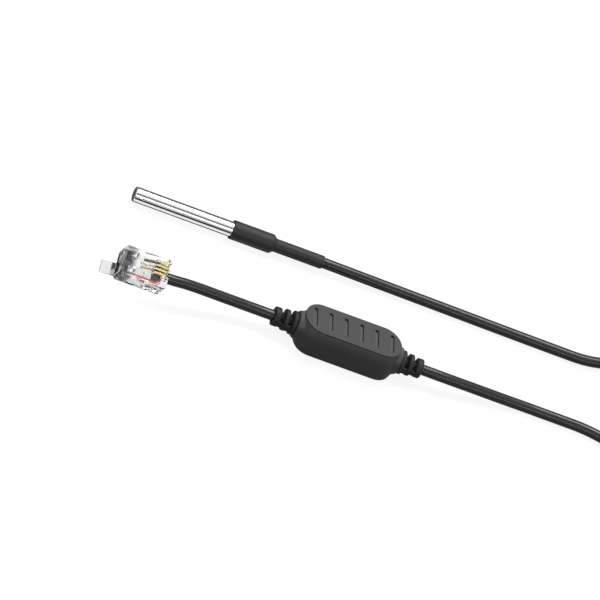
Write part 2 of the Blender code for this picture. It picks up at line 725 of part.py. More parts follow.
def plug_sections():
    """Chamfered rectangles along the body, drawn in at both ends by the bevel."""
    sections = []
    for x, inset in (
        (0, PLUG_BEVEL), (PLUG_BEVEL, 0), (PLUG_LENGTH - 2 * PLUG_BEVEL, 0), (PLUG_LENGTH, 2 * PLUG_BEVEL),
    ):
        y = PLUG_WIDTH / 2 - inset
        z = PLUG_THICK / 2 - inset
        cut_y = y - PLUG_CHAMFER
        cut_z = z - PLUG_CHAMFER
        sections.append([
            (x, y, -cut_z), (x, y, cut_z), (x, cut_y, z), (x, -cut_y, z),
            (x, -y, cut_z), (x, -y, -cut_z), (x, -cut_y, -z), (x, cut_y, -z),
        ])
    return sections


def latch_sections():
    """The latch as a strip: it leaves the nose's lower edge, turns back and ends in a thumb tab."""
    root = -PLUG_THICK / 2
    centres = [Vector((x * MM, 0, root + z * MM)) for x, z, _ in LATCH_LINE]
    sections = []
    for index, centre in enumerate(centres):
        before = centres[max(index - 1, 0)]
        after = centres[min(index + 1, len(centres) - 1)]
        ahead = (after - before).normalized()
        normal = Vector((-ahead.z, 0, ahead.x)) * LATCH_THICK / 2
        width = LATCH_WIDE if LATCH_LINE[index][2] else LATCH_NARROW
        side = Vector((0, width / 2, 0))
        sections.append([
            tuple(centre + normal + side), tuple(centre + normal - side),
            tuple(centre - normal - side), tuple(centre - normal + side),
        ])
    return sections


def bar_window():
    """Two pockets beside the cord-grip bar, cut through the contact side into the mouth."""
    shape = bmesh.new()
    top = PLUG_THICK / 2 + GAP
    outer = BAR_WIDTH / 2
    inner = outer - BAR_POCKET
    for near, far in ((-outer, -inner), (inner, outer)):
        low = (BAR_START, near, DUCT_TOP - GAP)
        add_loft(shape, block(low, (BAR_START + BAR_LENGTH, far, top)))
    return shape


def contact_profile():
    """A blade seen from the side: rounded top front corner, and a lower edge that clears the jacket."""
    front = CONTACT_FROM_NOSE
    top = PLUG_THICK / 2 - CONTACT_SINK
    bend = CONTACT_BEND
    points = [(front, CONTACT_SHOULDER)]
    for angle in quarter(4):
        points.append((front + bend * (1 - math.cos(angle)), top - bend * (1 - math.sin(angle))))
    points += [(CONTACT_END, top), (CONTACT_END, DUCT_TOP), (front + CONTACT_TOE, DUCT_TOP)]
    return points


def contact_slots():
    """Four slots a little wider than the blades, open to the contact side, the nose and the duct."""
    shape = bmesh.new()
    slack = CONTACT_SIDE_GAP
    high = PLUG_THICK / 2 + GAP
    shoulder = CONTACT_SHOULDER - slack
    back = CONTACT_END + slack
    toe = CONTACT_FROM_NOSE + CONTACT_TOE - slack
    outline = [
        (-GAP, shoulder), (-GAP, high), (back, high), (back, DUCT_TOP - GAP),
        (NOSE_WALL, DUCT_TOP - GAP), (NOSE_WALL - slack, DUCT_TOP - slack), (toe, DUCT_TOP - slack),
        (CONTACT_FROM_NOSE - slack, shoulder),
    ]
    half = CONTACT_THICK / 2 + slack
    for index in range(CONTACT_COUNT):
        y = contact_place(index)
        add_loft(shape, [[(x, side, z) for x, z in outline] for side in (y - half, y + half)])
    return shape


def make_plug_cores(place):
    """The cores from the jacket's end, fanned out under the contacts and on towards the mouth."""
    start = PORT_DEPTH
    run_z = DUCT_TOP - CORE_OD / 2 - FIT
    for index, (reach, turned, finish) in enumerate(PLUG_CORES):
        angle = math.radians(turned)
        y = CORE_RING * math.cos(angle)
        z = CORE_RING * math.sin(angle)
        across = contact_place(index)
        end = reach * MM
        route = (
            (start, y, z), (start + CORE_OD, y, z), (start + 3 * CORE_OD, across, run_z - FIT),
            (start + 4 * CORE_OD, across, run_z), (end - 1.5 * CORE_OD, across, run_z - GAP),
            (end, across, run_z - 2 * GAP),
        )
        knots = [Vector(point) / MM for point in route]
        points = [place @ point for point in smooth_route(knots, CORE_SPACING)]
        add_tube(f"plug_core_{index + 1}", points, CORE_OD, finish)


def make_coil():
    """The spare length as one turned ring, and the strap that ties it."""
    half = COIL_COLUMNS * CABLE_OD / 2
    height = COIL_LAYERS * CABLE_OD
    inner = COIL_MIDDLE_RADIUS - half
    outer = COIL_MIDDLE_RADIUS + half
    shape = bmesh.new()
    profile = rounded_section((inner, 0), (outer, height), COIL_ROUND)
    corners = [shape.verts.new((radius, 0, level)) for radius, level in profile]
    edges = [shape.edges.new(pair) for pair in zip(corners, corners[1:] + corners[:1])]
    bmesh.ops.spin(
        shape, geom=corners + edges, cent=(0, 0, 0), axis=(0, 0, 1), angle=2 * math.pi,
        steps=COIL_TURN_STEPS,
    )
    bmesh.ops.remove_doubles(shape, verts=shape.verts, dist=MERGE)
    place = Matrix.Translation((COIL_X, COIL_Y, COIL_BOTTOM))
    add_solid("cable_coil", shape, "jacket", place)
    make_tie(inner, outer, height, place)


def make_tie(inner, outer, height, place):
    """A flat strap looped round the bundle, at the side away from the module."""
    loops = []
    for spread in (GAP + TIE_THICK, GAP):
        low = (inner - spread, -spread)
        high = (outer + spread, height + spread)
        loops.append(rounded_section(low, high, TIE_ROUND + spread))
    around, within = loops
    half = TIE_WIDTH / 2
    strap = loft([[(x, y, z) for x, z in around] for y in (-half, half)])
    strap = add_solid("coil_tie", strap, "tie", place)
    hole = loft([[(x, y, z) for x, z in within] for y in (-TIE_WIDTH, TIE_WIDTH)])
    combine(strap, add_solid("tie_hole", hole, place=place), "DIFFERENCE")
    return strap


def make_cables():
    """The cable's three straight runs: to the plug, to the coil, and from the coil to the probe."""
    spacing = 2.2 * CABLE_OD
    add_tube("cable_to_plug", smooth_route(PLUG_ROUTE, spacing), CABLE_OD, "jacket")
    add_tube("cable_to_coil", smooth_route(COIL_ROUTE, spacing), CABLE_OD, "jacket")
    add_tube("cable_to_probe", smooth_route(PROBE_ROUTE, spacing), CABLE_OD, "jacket")


def main():
    clear_scene()
    make_module_body()
    make_module_cover()
    make_strain_relief("strain_relief_right", 1)
    make_strain_relief("strain_relief_left", -1)
    make_board()
    make_board_cores()
    make_probe()
    make_plug()
    make_coil()
    make_cables()


main()
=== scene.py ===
"""Dresses the temperature sensor: cords, module, plug and probe with their finishes, studio and camera.

Every piece is placed in the row frame, in metres: the module's flat base is centred on the origin, +X
runs along its cable towards the long end, +Y points away from the viewer and +Z points up.
"""

import json
import logging
import math
from collections.abc import Sequence
from dataclasses import dataclass, field
from enum import Enum

import bmesh
import bpy
import numpy as np
from mathutils import Matrix, Vector

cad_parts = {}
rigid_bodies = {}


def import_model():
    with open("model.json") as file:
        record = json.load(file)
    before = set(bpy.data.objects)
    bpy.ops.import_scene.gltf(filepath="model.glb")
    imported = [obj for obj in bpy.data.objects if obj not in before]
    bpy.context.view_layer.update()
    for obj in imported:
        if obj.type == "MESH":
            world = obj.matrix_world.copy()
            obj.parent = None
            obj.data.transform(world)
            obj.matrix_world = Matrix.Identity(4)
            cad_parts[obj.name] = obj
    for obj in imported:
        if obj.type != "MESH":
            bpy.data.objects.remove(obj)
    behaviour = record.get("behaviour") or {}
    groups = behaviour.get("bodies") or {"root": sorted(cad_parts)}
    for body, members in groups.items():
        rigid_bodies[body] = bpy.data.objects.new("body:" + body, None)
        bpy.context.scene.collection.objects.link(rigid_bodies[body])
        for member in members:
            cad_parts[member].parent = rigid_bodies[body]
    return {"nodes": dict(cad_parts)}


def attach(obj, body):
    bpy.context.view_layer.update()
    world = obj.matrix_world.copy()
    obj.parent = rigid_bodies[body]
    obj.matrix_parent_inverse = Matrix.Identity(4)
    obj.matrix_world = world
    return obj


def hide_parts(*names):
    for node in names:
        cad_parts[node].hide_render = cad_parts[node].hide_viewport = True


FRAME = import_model()

LOG = logging.getLogger("temperature_sensor")
MM = 0.001
# Angle in degrees over which a copied solid's edges are softened
SOFTENED_FROM = 30.0

# The coarse grain's scale and strength beside the fine one, and the scale and contrast of handling
COARSE_SCALE = 0.3
COARSE_SHARE = 0.35
PATCH_SCALE = 160.0
MASK_GAIN = 1.4

Material, Node, Socket, Tree = bpy.types.Material, bpy.types.Node, bpy.types.NodeSocket, bpy.types.NodeTree
Thing = bpy.types.Object
Colour = tuple[float, float, float]
Points = Sequence[tuple[float, float, float]]
Profile = Sequence[tuple[float, float]] | np.ndarray


class Pattern(Enum):
    """What a finish's fine bump follows."""

    GRAIN = "grain"
    DRAWN = "drawn"
    SKIN = "skin"


# Where a stretched bump is read, and its scale along the axes there
STRETCH = {Pattern.DRAWN: ("Object", (0.02, 1.0, 1.0)), Pattern.SKIN: ("UV", (0.0002, 0.01, 1.0))}

# Meshes worked out as whole arrays


def add_object(name: str, data: bpy.types.ID) -> Thing:
    """Make an object of a mesh, curve, lamp or camera, and link it to the scene."""
    obj = bpy.data.objects.new(name, data)
    bpy.context.scene.collection.objects.link(obj)
    return obj


def full_turn(steps: int) -> np.ndarray:
    """Even angles all the way round, from 0."""
    return np.linspace(0, 2 * np.pi, steps, endpoint=False)


def surface(
    name: str,
    grid: np.ndarray,
    capped: bool = True,
    sharp: float = 35.0,
    scale: tuple[float, float] = (1.0, 1.0),
) -> Thing:
    """Skin a grid of points, where row i and column j hold the point of the parameters (i, j).

    The faces join each point to the next in its column and round its row. UV is (i, j) as a share of
    the grid, times `scale`.

    Args:
        name: Name of the object.
        grid: Points, rows by columns by 3, in metres.
        capped: Whether the first and last rows are filled.
        sharp: Angle in degrees over which an edge stays sharp.
        scale: Size of the UV map along rows and columns.

    Returns:
        The new object, at the origin.
    """
    rows, columns = grid.shape[:2]
    row, column = np.meshgrid(np.arange(rows - 1), np.arange(columns), indexing="ij")
    corner_rows = np.stack([row, row, row + 1, row + 1], -1).reshape(-1, 4)
    corner_columns = np.stack([column, column + 1, column + 1, column], -1).reshape(-1, 4)
    faces = (corner_rows * columns + corner_columns % columns).tolist()
    if capped:
        faces.append(list(range(columns)))
        faces.append(list(range((rows - 1) * columns, rows * columns)))
    mesh = bpy.data.meshes.new(name)
    mesh.from_pydata(grid.reshape(-1, 3).tolist(), [], faces)
    along = corner_rows / (rows - 1) * scale[0]
    around = corner_columns / columns * scale[1]
    uv = np.zeros((len(mesh.loops), 2), np.float32)
    uv[: along.size] = np.stack([along.ravel(), around.ravel()], -1)
    mesh.uv_layers.new(name="surface").data.foreach_set("uv", uv.ravel())
    return finish_mesh(name, mesh, sharp)


def finish_mesh(name: str, mesh: bpy.types.Mesh, sharp: float) -> Thing:
    """Close poles and seams, turn the faces out, smooth the round sides and link the object.

    Args:
        name: Name of the object.
        mesh: Its mesh.
        sharp: Angle in degrees over which an edge stays sharp.

    Returns:
        The new object.
    """
    shape = bmesh.new()
    shape.from_mesh(mesh)
    bmesh.ops.remove_doubles(shape, verts=shape.verts, dist=0.001 * MM)
    bmesh.ops.recalc_face_normals(shape, faces=shape.faces)
    shape.to_mesh(mesh)
    shape.free()
    mesh.shade_smooth()
    mesh.set_sharp_from_angle(angle=math.radians(sharp))
    return add_object(name, mesh)


def turned(name: str, profile: Profile, centre: Vector, steps: int) -> Thing:
    """Turn a profile of (x, radius) about the line through `centre` that runs along X.

    A point is (x, radius times the cosine, radius times the sine) of its angle, from the centre.

    Args:
        name: Name of the object.
        profile: Rows of (x, radius), in metres.
        centre: A point of the axis.
        steps: Columns of the turn.

    Returns:
        The new object.
    """
    x, radius = np.asarray(profile, float).T[..., None]
    angle = full_turn(steps)
    across, up = radius * np.cos(angle), radius * np.sin(angle)
    grid = np.stack([np.broadcast_to(x, across.shape), across, up], -1)
    return surface(name, grid + np.array(centre), capped=False, sharp=50)


def smooth_path(knots: Points | np.ndarray, spacing: float) -> np.ndarray:
    """Points along a Catmull-Rom curve: each stretch is a cubic whose end slopes are half the chord
    between the neighbours of that end.

    Args:
        knots: The points that the curve passes, in metres.
        spacing: Distance between the points that come back.

    Returns:
        The points, n by 3, evenly spaced.
    """
    knots = np.asarray(knots, float)
    knots = np.vstack([2 * knots[0] - knots[1], knots, 2 * knots[-1] - knots[-2]])
    t = np.linspace(0, 1, 24, endpoint=False)[None, :, None]
    before, start, end, after = (knots[i : len(knots) - 3 + i, None] for i in range(4))
    curve = (
        (2 * t**3 - 3 * t**2 + 1) * start
        + (t**3 - 2 * t**2 + t) * (end - before) / 2
        + (3 * t**2 - 2 * t**3) * end
        + (t**3 - t**2) * (after - start) / 2
    ).reshape(-1, 3)
    curve = np.vstack([curve, knots[-2]])
    reach = np.concatenate([[0], np.cumsum(np.linalg.norm(np.diff(curve, axis=0), axis=1))])
    even = np.linspace(0, reach[-1], max(2, round(reach[-1] / spacing)))
    return np.stack([np.interp(even, reach, curve[:, axis]) for axis in range(3)], -1)


def eased(share: np.ndarray) -> np.ndarray:
    """A share held between 0 and 1, with level ends: three times its square less twice its cube."""
    share = np.clip(share, 0, 1)
    return share * share * (3 - 2 * share)


def rectangle(left: float, right: float, front: float, back: float) -> list[tuple[float, float]]:
    """The four corners of a rectangle, in order round it."""
    return [(left, front), (right, front), (right, back), (left, back)]


def path_length(path: np.ndarray) -> float:
    """Length of a path of points, in metres."""
    return float(np.linalg.norm(np.diff(path, axis=0), axis=1).sum())


def tube(name: str, path: np.ndarray, radius: float, steps: int = 24) -> Thing:
    """Carry a circle along a path. The circle stands square to the path, with its first axis level.

    Along the path, UV counts millimetres.

    Args:
        name: Name of the object.
        path: The centreline, n by 3, in metres.
        radius: Radius of the circle.
        steps: Points of the circle.

    Returns:
        The new object.
    """
    ahead = np.gradient(path, axis=0)
    ahead /= np.linalg.norm(ahead, axis=1, keepdims=True)
    side = np.cross(ahead, (0.0, 0.0, 1.0))
    side /= np.linalg.norm(side, axis=1, keepdims=True)
    up = np.cross(side, ahead)
    angle = full_turn(steps)[None, :, None]
    circle = radius * (np.cos(angle) * side[:, None] + np.sin(angle) * up[:, None])
    return surface(name, path[:, None] + circle, sharp=60, scale=(path_length(path) * 1000, 1.0))


def flat_shape(
    name: str,
    outline: np.ndarray,
    holes: Sequence[np.ndarray],
    low: float,
    high: float,
    edge: float,
) -> Thing:
    """A level plate with holes and softened edges, between two heights.

    Args:
        name: Name of the object.
        outline: Points round the plate, n by 2.
        holes: Points round each hole, n by 2 each.
        low: Height of the underside.
        high: Height of the top.
        edge: Radius of the softened edges.

    Returns:
        The new object.
    """
    curve = bpy.data.curves.new(name, "CURVE")
    curve.dimensions = "2D"
    curve.fill_mode = "BOTH"
    curve.extrude = (high - low) / 2 - edge
    curve.bevel_depth = edge
    curve.bevel_resolution = 2
    curve.offset = -edge
    for ring in (outline, *holes):
        spline = curve.splines.new("POLY")
        spline.use_cyclic_u = True
        spline.points.add(len(ring) - 1)
        spline.points.foreach_set("co", np.insert(ring, [2, 2], (0, 1), axis=1).ravel())
    carrier = add_object(name + "_curve", curve)
    bpy.context.view_layer.update()
    mesh = bpy.data.meshes.new_from_object(carrier.evaluated_get(bpy.context.evaluated_depsgraph_get()))
    bpy.data.objects.remove(carrier, do_unlink=True)
    mesh.transform(Matrix.Translation((0, 0, (low + high) / 2)))
    return finish_mesh(name, mesh, sharp=12)


def sheet(name: str, corners: Points, material: Material) -> Thing:
    """One flat face, for the stage.

    Args:
        name: Name of the object.
        corners: Its four corners, in metres.
        material: Its material.

    Returns:
        The new object.
    """
    mesh = bpy.data.meshes.new(name)
    mesh.from_pydata(corners, [], [(0, 1, 2, 3)])
    mesh.materials.append(material)
    return add_object(name, mesh)


def finer_copy(node: str, name: str, edge: float) -> Thing:
    """A copy of a CAD node whose flat faces are made whole and whose edges are softened.

    Args:
        node: The CAD node.
        name: Name of the copy, which stands for the node.
        edge: Width of the softened edges.

    Returns:
        The copy.
    """
    mesh = FRAME["nodes"][node].data.copy()
    mesh.materials.clear()
    shape = bmesh.new()
    shape.from_mesh(mesh)
    bmesh.ops.remove_doubles(shape, verts=shape.verts, dist=0.002 * MM)
    bmesh.ops.dissolve_limit(shape, angle_limit=math.radians(1.5), verts=shape.verts, edges=shape.edges)
    shape.to_mesh(mesh)
    shape.free()
    obj = finish_mesh(name, mesh, SOFTENED_FROM)
    soften = obj.modifiers.new("soft_edges", "BEVEL")
    soften.width = edge
    soften.segments = 2
    soften.limit_method = "ANGLE"
    soften.angle_limit = math.radians(SOFTENED_FROM)
    soften.use_clamp_overlap = True
    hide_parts(node)
    return obj


# Shader groups that several finishes share


def new_group(name: str, inputs: dict[str, tuple[str, float | None]], outputs: Sequence[str]) -> Tree:
    """An empty shader group with named sockets.

    Args:
        name: Name of the group.
        inputs: Kind of socket and start value for each input.
        outputs: Names of the value outputs.

    Returns:
        The group, with its input and output nodes.
    """
    group = bpy.data.node_groups.new(name, "ShaderNodeTree")
    for label, (kind, value) in inputs.items():
        socket = group.interface.new_socket(name=label, in_out="INPUT", socket_type=kind)
        if value is not None:
            socket.default_value = value
    for label in outputs:
        group.interface.new_socket(name=label, in_out="OUTPUT", socket_type="NodeSocketFloat")
    group.nodes.new("NodeGroupInput").name = "in"
    group.nodes.new("NodeGroupOutput").name = "out"
    return group


def feed(tree: Tree, node: Node, inputs: dict[str | int, object]) -> Node:
    """Link or set inputs of a node.

    Args:
        tree: The tree that holds the node.
        node: The node.
        inputs: For each input, by name or number, a socket to link or a number or colour to set.

    Returns:
        The same node.
    """
    for label, value in inputs.items():
        socket = node.inputs[label]
        if isinstance(value, Socket):
            tree.links.new(value, socket)
        else:
            socket.default_value = (*value, 1) if socket.type == "RGBA" else value
    return node


def add_node(tree: Tree, kind: str, inputs: dict[str | int, object], **settings: object) -> Node:
    """Add a node to a tree.

    Args:
        tree: The tree.
        kind: Blender's name of the node, after "ShaderNode".
        inputs: What `feed` gives to its inputs.
        settings: Its attributes, which are set first.

    Returns:
        The node.
    """
    node = tree.nodes.new("ShaderNode" + kind)
    for label, value in settings.items():
        setattr(node, label, value)
    return feed(tree, node, inputs)


def mixed(tree: Tree, operation: str, *values: object) -> Socket:
    """The result of a Math node whose inputs are sockets or numbers."""
    return add_node(tree, "Math", dict(enumerate(values)), operation=operation).outputs[0]


def blended(tree: Tree, mask: Socket, first: object, second: object) -> Socket:
    """The first colour where the mask is 0, and the second where it is 1. Each may be a socket."""
    inputs = {"Factor": mask, "A": first, "B": second}
    return add_node(tree, "Mix", inputs, data_type="RGBA").outputs["Result"]


def noise(tree: Tree, vector: Socket, scale: object, detail: float) -> Socket:
    """A Noise Texture's value, near 0.5, at `vector`, with `detail` octaves added."""
    return add_node(tree, "TexNoise", {"Detail": detail, "Vector": vector, "Scale": scale}).outputs["Fac"]


def make_grain_group() -> Tree:
    """Height of a spark-eroded mould's skin: a fine noise, with a coarser one about a third as strong."""
    inputs = {"Vector": ("NodeSocketVector", None), "Scale": ("NodeSocketFloat", 4000.0)}
    group = new_group("fine_grain", inputs, ["Height"])
    vector, scale = (group.nodes["in"].outputs[label] for label in inputs)
    fine = noise(group, vector, scale, 2.0)
    coarse = noise(group, vector, mixed(group, "MULTIPLY", scale, COARSE_SCALE), 2.0)
    height = mixed(group, "MULTIPLY_ADD", coarse, COARSE_SHARE, fine)
    group.links.new(height, group.nodes["out"].inputs["Height"])
    return group


def make_handling_group() -> Tree:
    """Slow patches that hands and packing leave: a soft mask that moves roughness and colour a little."""
    inputs = {
        "Vector": ("NodeSocketVector", None),
        "Roughness": ("NodeSocketFloat", 0.5),
        "Spread": ("NodeSocketFloat", 0.08),
    }
    group = new_group("handling", inputs, ["Roughness", "Mask"])
    vector, roughness, spread = (group.nodes["in"].outputs[label] for label in inputs)
    centred = mixed(group, "SUBTRACT", noise(group, vector, PATCH_SCALE, 4.0), 0.5)
    end = group.nodes["out"]
    group.links.new(mixed(group, "MULTIPLY_ADD", centred, spread, roughness), end.inputs["Roughness"])
    group.links.new(mixed(group, "MULTIPLY_ADD", centred, MASK_GAIN, 0.5), end.inputs["Mask"])
    return group


GRAIN = make_grain_group()
HANDLING = make_handling_group()


@dataclass(frozen=True)
class Finish:
    """A surface finish with slow patches of colour and roughness, and a fine bump.

    The patches move between `colour` and `patch`, and move the roughness by `spread`. `level` is the
    shine straight on, `bump` the fine bump's height in metres and `grain` its scale. `label` sets two
    finishes of one slot apart.
    """

    slot: str
    colour: Colour
    patch: Colour
    roughness: float
    spread: float = 0.08
    metallic: float = 0.0
    level: float = 0.5
    bump: float = 0.004 * MM
    grain: float = 4000.0
    pattern: Pattern = Pattern.GRAIN
    label: str = ""

    def build(self, name: str) -> Material:
        """Build the material.

        Args:
            name: Name of the material.

        Returns:
            The material.
        """
        material = bpy.data.materials.new(name)
        material.use_nodes = True
        tree = material.node_tree
        shader = tree.nodes["Principled BSDF"]
        place = self.place(tree)
        where = tree.nodes["place"].outputs["Object"]
        inputs = {"Roughness": self.roughness, "Spread": self.spread, "Vector": where}
        handling = add_node(tree, "Group", inputs, node_tree=HANDLING)
        grain = add_node(tree, "Group", {"Scale": self.grain, "Vector": place}, node_tree=GRAIN)
        inputs = {"Distance": self.bump, "Strength": 1.0, "Height": grain.outputs["Height"]}
        bump = add_node(tree, "Bump", inputs)
        feed(tree, shader, {
            "Metallic": self.metallic,
            "Specular IOR Level": self.level,
            "Roughness": handling.outputs["Roughness"],
            "Base Color": blended(tree, handling.outputs["Mask"], self.colour, self.patch),
            "Normal": bump.outputs["Normal"],
        })
        self.detail(tree, shader)
        return material

    def place(self, tree: Tree) -> Socket:
        """Where the fine bump is read: drawn and skin patterns are stretched along the piece.

        Args:
            tree: The material's tree.

        Returns:
            The coordinates.
        """
        source = add_node(tree, "TexCoord", {}, name="place")
        if self.pattern is Pattern.GRAIN:
            return source.outputs["Object"]
        output, scale = STRETCH[self.pattern]
        inputs = {"Scale": scale, "Vector": source.outputs[output]}
        return add_node(tree, "Mapping", inputs).outputs["Vector"]

    def detail(self, tree: Tree, shader: Node) -> None:
        """Add what only one kind of finish has; a plain finish has nothing."""


def ramp(tree: Tree, axis: str, start: float, end: float) -> Socket:
    """A value that goes smoothly from 0 to 1 between two places along an axis of the object.

    Args:
        tree: The tree that takes the nodes, with its coordinates in the node "place".
        axis: Name of the axis.
        start: Where it is 0, in metres.
        end: Where it is 1, in metres.

    Returns:
        The value.
    """
    split = add_node(tree, "SeparateXYZ", {"Vector": tree.nodes["place"].outputs["Object"]})
    inputs = {"Value": split.outputs[axis], "From Min": start, "From Max": end}
    return add_node(tree, "MapRange", inputs, interpolation_type="SMOOTHSTEP").outputs["Result"]


def recolour(tree: Tree, shader: Node, mask: Socket, colour: object) -> None:
    """Blend the shader's Base Color towards a colour, or a socket that holds it, where a mask is 1."""
    base = shader.inputs["Base Color"]
    tree.links.new(blended(tree, mask, base.links[0].from_socket, colour), base)


@dataclass(frozen=True)
class PaintedLightFinish(Finish):
    """Moulded plastic whose colour is painted paler towards its upper rim, between two heights, as painted
    light on its upper side.
    """

    # Painted light: the paler colour of the upper side, and the heights where it starts and is full
    painted_light: Colour = (0.1, 0.1, 0.1)
    painted_light_start: float = 4.5 * MM
    painted_light_end: float = 8.6 * MM

    def detail(self, tree: Tree, shader: Node) -> None:
        """Blend towards the paler colour of painted light with height."""
        recolour(tree, shader, ramp(tree, "Z", self.painted_light_start, self.painted_light_end), self.painted_light)


@dataclass(frozen=True)
class ClearFinish(Finish):
    """Moulded clear plastic, which lets light through and throws almost no shadow.

    Its mouth end is greyed as painted shade, with darker patches of painted shade, and its thumb tab less so.
    """

    # Painted shade: the grey of the mouth end, its darker patches, and where it starts and ends
    painted_shade: Colour = (0.34, 0.34, 0.34)
    dark_painted_shade: Colour = (0.02, 0.02, 0.02)
    painted_shade_start: float = -59.4 * MM
    painted_shade_end: float = -60.6 * MM
    tab_start: float = -63.2 * MM
    tab_fade: float = 0.3 * MM
    tab_shade_share: float = 0.45
    patch_scale: float = 420.0
    patch_gain: float = 9.0
    patch_drop: float = 4.6
    painted_shade_roughness: float = 0.05
    index: float = 1.5
    shadow: Colour = (0.85, 0.86, 0.87)

    def detail(self, tree: Tree, shader: Node) -> None:
        """Let light through, let shadow rays pass and paint shade over the mouth end.

        Args:
            tree: The material's tree.
            shader: Its Principled BSDF.
        """
        # Painted shade: darker patches and a grey over the mouth end, less over the thumb tab
        patches = noise(tree, tree.nodes["place"].outputs["Object"], self.patch_scale, 1.0)
        depth = mixed(tree, "MULTIPLY_ADD", patches, self.patch_gain, -self.patch_drop)
        depth.node.use_clamp = True
        body = ramp(tree, "X", self.tab_start - self.tab_fade, self.tab_start)
        painted_shade_tone = blended(tree, mixed(tree, "MULTIPLY", depth, body), self.painted_shade, self.dark_painted_shade)
        end = ramp(tree, "X", self.painted_shade_start, self.painted_shade_end)
        share = mixed(tree, "MULTIPLY_ADD", body, 1 - self.tab_shade_share, self.tab_shade_share)
        painted_shade_mask = mixed(tree, "MULTIPLY", end, share)
        recolour(tree, shader, painted_shade_mask, painted_shade_tone)
        plain = shader.inputs["Roughness"].links[0].from_socket
        roughness = mixed(tree, "MULTIPLY_ADD", painted_shade_mask, self.painted_shade_roughness, plain)
        feed(tree, shader, {"Roughness": roughness, "Transmission Weight": 1.0, "IOR": self.index})
        path = add_node(tree, "LightPath", {})
        clear = add_node(tree, "BsdfTransparent", {"Color": self.shadow})
        sources = (path.outputs["Is Shadow Ray"], shader.outputs["BSDF"], clear.outputs["BSDF"])
        choose = add_node(tree, "MixShader", dict(enumerate(sources)))
        feed(tree, tree.nodes["Material Output"], {"Surface": choose.outputs["Shader"]})


# Lid and tub are one plastic: the lid is given a paler colour than the tub, as painted light on the top face
LID = Finish(
    "module_shell", (0.046, 0.046, 0.047), (0.056, 0.056, 0.056), 0.5, level=0.4, bump=0.006 * MM, grain=5200
)
# The tub grows paler towards its rim: painted light for its lit upper side
TUB = PaintedLightFinish(
    "module_shell", (0.036, 0.036, 0.037), (0.043, 0.043, 0.043), 0.42, level=0.35, bump=0.005 * MM,
    grain=5200, label="module_tub",
)
RELIEF = Finish("relief", (0.02, 0.02, 0.021), (0.027, 0.027, 0.027), 0.58, level=0.25, bump=0.004 * MM)
JACKET = Finish(
    "jacket", (0.03, 0.03, 0.032), (0.038, 0.038, 0.039), 0.24, level=0.3, bump=0.002 * MM, grain=9000,
    pattern=Pattern.SKIN,
)
SHRINK = Finish(
    "shrink", (0.026, 0.026, 0.027), (0.032, 0.032, 0.032), 0.55, level=0.3, bump=0.006 * MM, grain=2600
)
STEEL = Finish(
    "steel", (0.84, 0.85, 0.86), (0.88, 0.88, 0.89), 0.09, spread=0.05, metallic=1.0, bump=0.0006 * MM,
    grain=9000, pattern=Pattern.DRAWN,
)
GOLD = Finish("gold", (0.74, 0.63, 0.3), (0.6, 0.49, 0.2), 0.28, metallic=1.0, bump=0.001 * MM, grain=6000)
CLEAR = ClearFinish(
    "clear_plastic", (0.88, 0.885, 0.88), (0.8, 0.8, 0.795), 0.04, spread=0.04, bump=0.001 * MM, grain=900
)
STRAP = Finish("tie", (0.022, 0.022, 0.022), (0.03, 0.03, 0.03), 0.4, bump=0.004 * MM)
BOARD = Finish("board", (0.015, 0.13, 0.05), (0.02, 0.17, 0.07), 0.4, bump=0.003 * MM)
PACKAGE = Finish("package", (0.02, 0.02, 0.022), (0.028, 0.028, 0.03), 0.5)
CERAMIC = Finish("ceramic", (0.4, 0.28, 0.18), (0.46, 0.34, 0.23), 0.45)
RESIN = Finish("resin", (0.1, 0.09, 0.07), (0.13, 0.11, 0.08), 0.25)
CORE_RED = Finish("core_red", (0.55, 0.015, 0.015), (0.62, 0.03, 0.02), 0.35)
CORE_BLACK = Finish("core_black", (0.014, 0.014, 0.015), (0.02, 0.02, 0.02), 0.35)
CORE_YELLOW = Finish("core_yellow", (0.5, 0.44, 0.2), (0.58, 0.5, 0.25), 0.35)
CORE_WHITE = Finish("core_white", (0.74, 0.74, 0.7), (0.8, 0.8, 0.76), 0.35)


def dress(obj: Thing, finish: Finish) -> Thing:
    """Give an object its finish and name the record's slot.

    Args:
        obj: A CAD node or a piece.
        finish: The finish.

    Returns:
        The same object.
    """
    name = f"{finish.label or finish.slot}_finish"
    material = bpy.data.materials.get(name) or finish.build(name)
    if obj.material_slots:
        for holder in obj.material_slots:
            holder.material = material
    else:
        obj.data.materials.append(material)
    return obj


def settle(obj: Thing, finish: Finish, *nodes: str) -> Thing:
    """Dress a new piece, let it stand for its CAD nodes and ride on the body.

    Args:
        obj: The piece.
        finish: Its finish.
        nodes: The CAD nodes that it stands for.

    Returns:
        The same piece.
    """
    dress(obj, finish)
    if nodes:
        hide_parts(*nodes)
    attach(obj, "root")
    LOG.info("%s: %d faces", obj.name, len(obj.data.polygons))
    return obj


